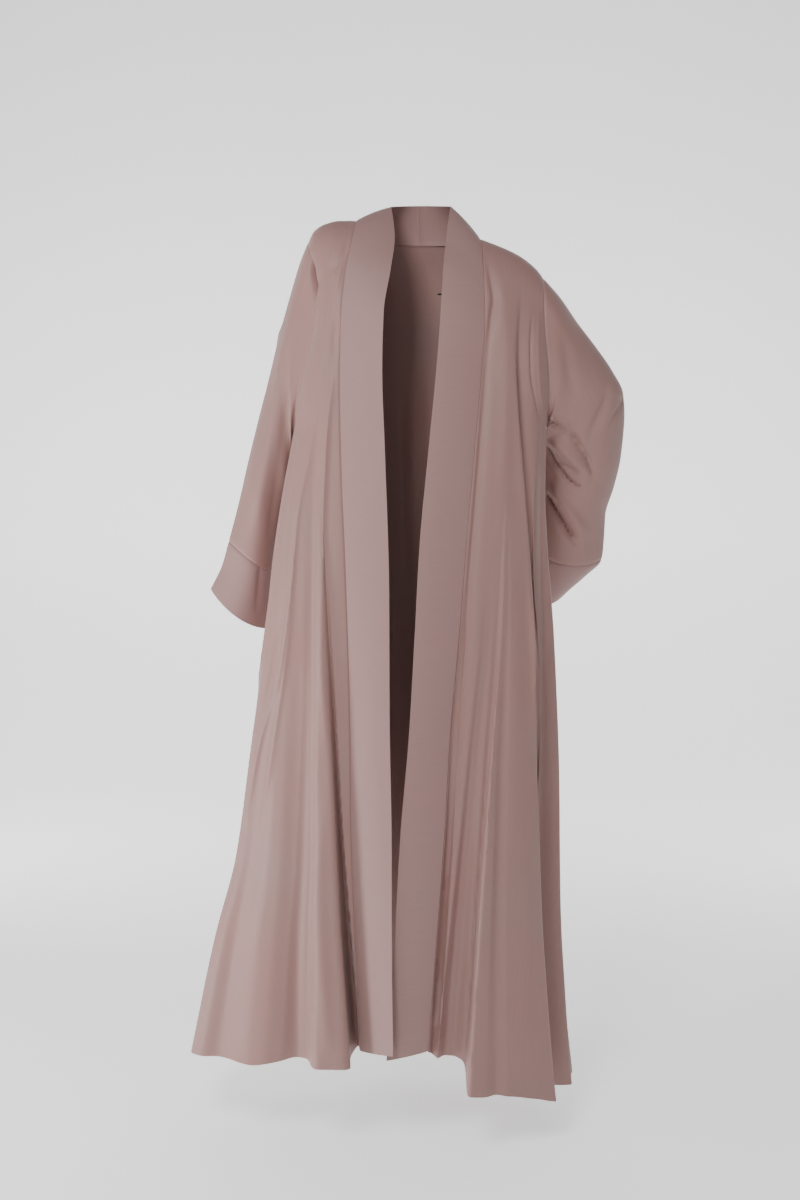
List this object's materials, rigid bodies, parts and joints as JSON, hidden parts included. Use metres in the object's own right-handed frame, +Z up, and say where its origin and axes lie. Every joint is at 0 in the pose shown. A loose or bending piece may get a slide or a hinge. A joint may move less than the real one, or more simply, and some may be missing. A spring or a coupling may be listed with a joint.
{
  "type": "abaya cloak",
  "caption": "Long open-front abaya cloak in a dusty mauve satin crepe, with straight front bands, drop-shoulder sleeves and deep cuffs, in its worn form.",
  "frame": {"origin": "middle of the base of the neck, level with where the cloak hangs from the wearer's shoulders", "axes": "+Z up from the hem to the collar, the front faces -Y, +X to the viewer's right, which is the wearer's left"},
  "size_m": [0.7436, 0.4174, 1.5179],
  "materials": {
    "cloak_crepe": "matt satin-crepe weave",
    "band_crepe": "the same crepe, interfaced, fine level ribs",
    "hook_metal": "dark lacquered wire"
  },
  "bodies": {
    "root": {"back": "cloak_crepe", "front_right": "cloak_crepe", "front_left": "cloak_crepe", "sleeve_right": "cloak_crepe", "sleeve_left": "cloak_crepe", "cuff_right": "band_crepe", "cuff_left": "band_crepe", "band_right": "band_crepe", "band_left": "band_crepe", "front_hook": "hook_metal"}
  },
  "joints": []
}
